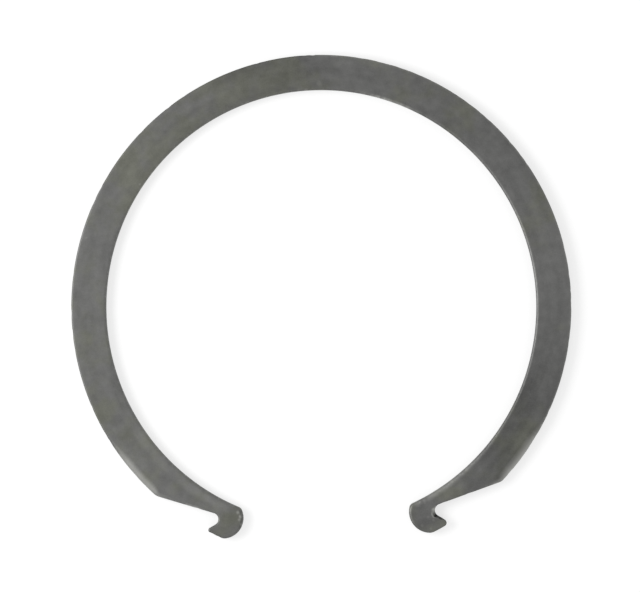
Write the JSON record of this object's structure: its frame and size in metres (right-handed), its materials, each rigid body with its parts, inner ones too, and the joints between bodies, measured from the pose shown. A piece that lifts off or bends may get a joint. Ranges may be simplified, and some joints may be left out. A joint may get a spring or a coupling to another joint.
{
  "type": "circlip retaining ring",
  "caption": "Flat open retaining ring of spring steel with a hooked, notched lug at each end of its gap, for springing into a groove inside a round bore.",
  "frame": {"origin": "on the ring's axis, level with its lower face", "axes": "+Z along the ring's axis, out of the upper face, which is the die side of the blank, with the wider rolled edge; -Y through the middle of the gap between the lugs"},
  "size_m": [0.0874, 0.0836, 0.0025],
  "materials": {
    "spring_steel": "dull dark grey hardened and tumbled spring steel, lightly oiled, with bare lighter metal where the edges roll over"
  },
  "bodies": {
    "root": {"retaining_ring": "spring_steel"}
  },
  "joints": []
}
